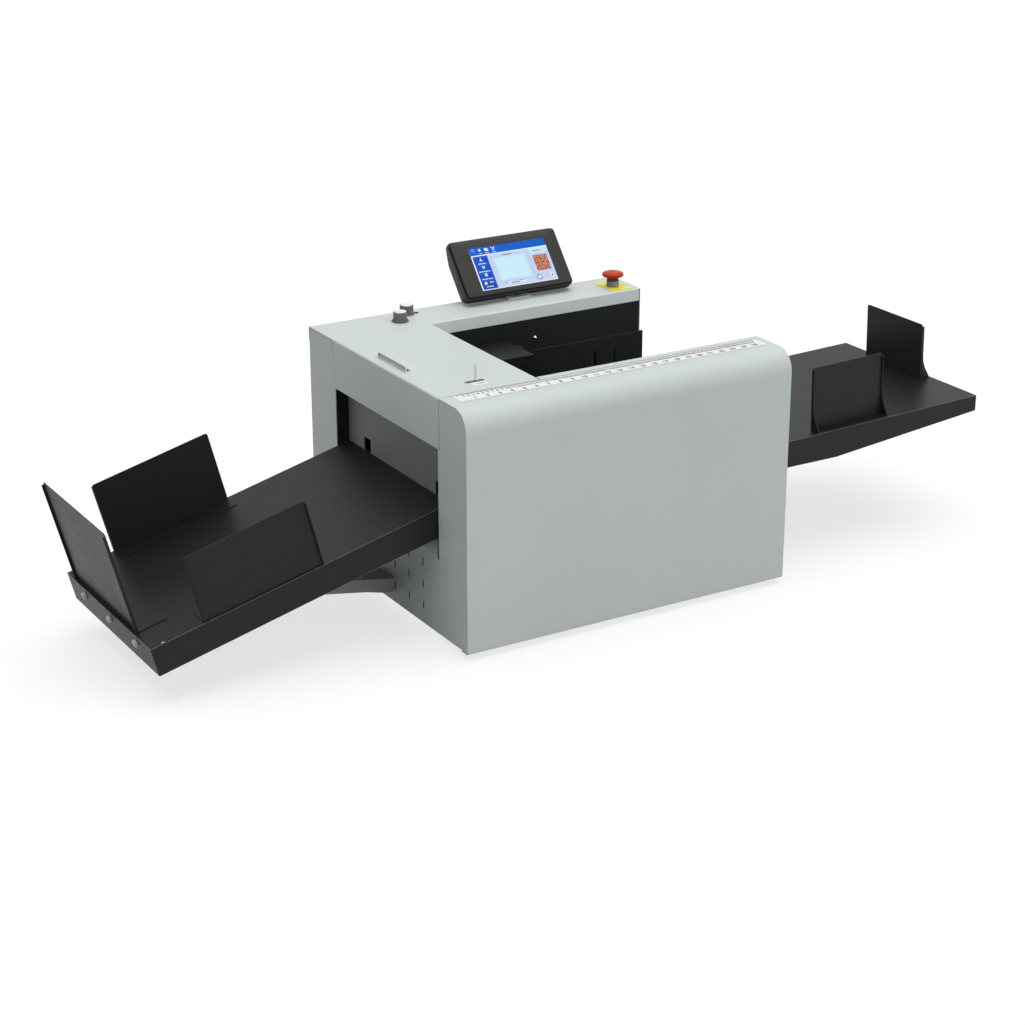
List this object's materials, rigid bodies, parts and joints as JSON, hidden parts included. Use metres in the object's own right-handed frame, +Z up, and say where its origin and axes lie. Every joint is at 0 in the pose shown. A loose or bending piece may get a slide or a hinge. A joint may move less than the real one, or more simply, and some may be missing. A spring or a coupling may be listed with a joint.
{
  "type": "paper creasing machine",
  "caption": "Desktop paper creasing machine: pile feed bed, suction feed head, cam-driven creasing blade between geared rollers, hinged hood, tilting touch display and sloping delivery tray",
  "frame": {"origin": "under the middle of the whole machine, at the level of the soles of its feet", "axes": "X runs along the paper path, with the feed bed at +X and the delivery tray at -X; Y runs from the operator's side to the back; Z is up"},
  "size_m": [1.858, 0.655, 0.5859],
  "materials": {
    "body_paint": "pale grey powder coat, fine texture",
    "hood_paint": "pale grey powder coat, fine texture",
    "tray_paint": "black powder coat, fine texture",
    "wall_paint": "mid grey powder coat",
    "frame_steel": "zinc-plated sheet",
    "shaft_steel": "ground steel",
    "tool_steel": "hardened and ground steel",
    "tyre_rubber": "moulded rubber",
    "foot_rubber": "moulded rubber",
    "black_plastic": "moulded, fine texture",
    "display_plastic": "moulded, fine texture",
    "screen_glass": "glossy touch glass",
    "knob_plastic": "moulded, ribbed",
    "handle_plastic": "moulded, satin",
    "stop_red": "moulded, glossy",
    "stop_yellow": "printed plastic plate",
    "collar_grey": "moulded",
    "ruler_white": "printed strip",
    "board_grey": "folded housing",
    "lever_steel": "polished flat bar"
  },
  "bodies": {
    "chassis": {"front_cover": "body_paint", "left_end_panel": "body_paint", "right_end_panel": "body_paint", "rear_top_cover": "body_paint", "rear_panel": "body_paint", "base_pan": "frame_steel", "rubber_feet": "foot_rubber", "near_side_frame": "tray_paint", "far_side_frame": "tray_paint", "tie_bars": "shaft_steel", "shaft_bearings": "shaft_steel", "drive_belt": "tyre_rubber", "creasing_matrix": "tool_steel", "paper_deck": "tray_paint", "drive_motors": "board_grey", "throat_near_lining": "tray_paint", "upper_rear_lining": "tray_paint", "side_lay_panel": "tray_paint", "feed_head_cover": "tray_paint", "vacuum_blower": "board_grey", "electronics_boxes": "board_grey", "lift_rods": "shaft_steel", "hinge_beam": "frame_steel", "delivery_tray": "tray_paint", "tray_strut": "wall_paint", "stacker_wall": "wall_paint", "stop_button_plate": "stop_yellow", "stop_button_collar": "collar_grey", "display_stand": "black_plastic", "ruler_strip": "ruler_white", "power_inlet": "black_plastic", "switch_bezel": "black_plastic"},
    "hood_body": {"hood": "hood_paint", "hood_handle": "handle_plastic"},
    "lever_body": {"adjust_lever": "lever_steel"},
    "near_knob_body": {"near_knob": "knob_plastic"},
    "far_knob_body": {"far_knob": "knob_plastic"},
    "stop_button_body": {"stop_button_head": "stop_red"},
    "display_body": {"display_housing": "display_plastic", "display_glass": "screen_glass"},
    "infeed_lower_body": {"infeed_lower_shaft": "shaft_steel", "infeed_lower_tyres": "tyre_rubber"},
    "infeed_upper_body": {"infeed_upper_roller": "shaft_steel"},
    "outfeed_lower_body": {"outfeed_lower_shaft": "shaft_steel", "outfeed_lower_tyres": "tyre_rubber"},
    "outfeed_upper_body": {"outfeed_upper_roller": "shaft_steel"},
    "motor_pulley_body": {"motor_pulley": "shaft_steel"},
    "cam_body": {"cam_shaft": "tool_steel"},
    "creasing_body": {"creasing_beam": "tool_steel", "creasing_blade": "tool_steel"},
    "drum_body": {"suction_drum": "shaft_steel"},
    "plunger_body": {"head_plunger": "shaft_steel"},
    "feed_bed_body": {"feed_bed": "tray_paint", "lift_carriage": "frame_steel"},
    "feed_guide_body": {"feed_side_guide": "tray_paint"},
    "feed_stop_body": {"feed_end_stop": "tray_paint"},
    "end_stop_body": {"delivery_end_stop": "tray_paint"},
    "near_guide_body": {"delivery_near_guide": "tray_paint"},
    "far_guide_body": {"delivery_far_guide": "tray_paint"},
    "rocker_body": {"switch_rocker": "black_plastic"}
  },
  "joints": [
    {"name": "hood_hinge", "type": "hinge", "parent": "chassis", "child": "hood_body", "pos_m": [-0.11699, -0.02048, 0.4675], "axis": [0, 1, 0], "range_deg": [0, 78]},
    {"name": "lever_pivot", "type": "hinge", "parent": "chassis", "child": "lever_body", "pos_m": [-0.21699, -0.20748, 0.405], "axis": [0, 1, 0], "range_deg": [-3, 7]},
    {"name": "near_knob_turn", "type": "hinge", "parent": "chassis", "child": "near_knob_body", "pos_m": [-0.15449, 0.22422, 0.472], "axis": [0, 0, 1], "range_deg": [0, 270]},
    {"name": "far_knob_turn", "type": "hinge", "parent": "chassis", "child": "far_knob_body", "pos_m": [-0.12069, 0.26002, 0.472], "axis": [0, 0, 1], "range_deg": [0, 270]},
    {"name": "stop_button_push", "type": "slide", "parent": "chassis", "child": "stop_button_body", "axis": [0, 0, -1], "range_m": [0, 0.004], "stiffness_N_per_m": 1500, "springref_m": -0.002},
    {"name": "display_tilt", "type": "hinge", "parent": "chassis", "child": "display_body", "pos_m": [0.12901, 0.26527, 0.4818], "axis": [1, 0, 0], "range_deg": [-30, 10]},
    {"name": "infeed_lower_turn", "type": "hinge", "parent": "chassis", "child": "infeed_lower_body", "pos_m": [-0.13099, -0.02048, 0.347], "axis": [0, 1, 0], "continuous": true},
    {"name": "infeed_upper_turn", "type": "hinge", "parent": "chassis", "child": "infeed_upper_body", "pos_m": [-0.13099, -0.02048, 0.377], "axis": [0, 1, 0], "continuous": true},
    {"name": "outfeed_lower_turn", "type": "hinge", "parent": "chassis", "child": "outfeed_lower_body", "pos_m": [-0.26499, -0.02048, 0.347], "axis": [0, 1, 0], "continuous": true},
    {"name": "outfeed_upper_turn", "type": "hinge", "parent": "chassis", "child": "outfeed_upper_body", "pos_m": [-0.26499, -0.02048, 0.377], "axis": [0, 1, 0], "continuous": true},
    {"name": "motor_turn", "type": "hinge", "parent": "chassis", "child": "motor_pulley_body", "pos_m": [-0.19499, -0.02048, 0.248], "axis": [0, 1, 0], "continuous": true},
    {"name": "cam_turn", "type": "hinge", "parent": "chassis", "child": "cam_body", "pos_m": [-0.19499, -0.02048, 0.42683], "axis": [0, 1, 0], "range_deg": [0, 120]},
    {"name": "crease_press", "type": "slide", "parent": "chassis", "child": "creasing_body", "axis": [0, 0, -1], "range_m": [0, 0.005]},
    {"name": "drum_turn", "type": "hinge", "parent": "chassis", "child": "drum_body", "pos_m": [-0.03799, -0.02048, 0.383], "axis": [0, 1, 0], "continuous": true},
    {"name": "plunger_pull", "type": "slide", "parent": "chassis", "child": "plunger_body", "axis": [0, -1, 0], "range_m": [0, 0.006], "stiffness_N_per_m": 300, "springref_m": -0.002},
    {"name": "bed_lift", "type": "slide", "parent": "chassis", "child": "feed_bed_body", "axis": [0, 0, 1], "range_m": [0, 0.1]},
    {"name": "feed_guide_slide", "type": "slide", "parent": "feed_bed_body", "child": "feed_guide_body", "axis": [0, 1, 0], "range_m": [0, 0.25]},
    {"name": "feed_stop_slide", "type": "slide", "parent": "feed_bed_body", "child": "feed_stop_body", "axis": [-0.9996, 0, -0.0279], "range_m": [0, 0.18]},
    {"name": "end_stop_slide", "type": "slide", "parent": "chassis", "child": "end_stop_body", "axis": [0.9681, 0, 0.2504], "range_m": [0, 0.025]},
    {"name": "near_guide_slide", "type": "slide", "parent": "chassis", "child": "near_guide_body", "axis": [0, 1, 0], "range_m": [0, 0.12]},
    {"name": "far_guide_slide", "type": "slide", "parent": "chassis", "child": "far_guide_body", "axis": [0, -1, 0], "range_m": [0, 0.12]},
    {"name": "rocker_tilt", "type": "hinge", "parent": "chassis", "child": "rocker_body", "pos_m": [0.23701, 0.27652, 0.082], "axis": [-1, 0, 0], "range_deg": [0, 18]}
  ],
  "couplings": [
    {"joint": "infeed_upper_turn", "follows": "infeed_lower_turn", "ratio": -1},
    {"joint": "outfeed_lower_turn", "follows": "infeed_lower_turn", "ratio": 1},
    {"joint": "outfeed_upper_turn", "follows": "infeed_lower_turn", "ratio": -1},
    {"joint": "motor_turn", "follows": "infeed_lower_turn", "ratio": 1},
    {"joint": "cam_turn", "follows": "crease_press", "rad_per_m": 418.88}
  ]
}
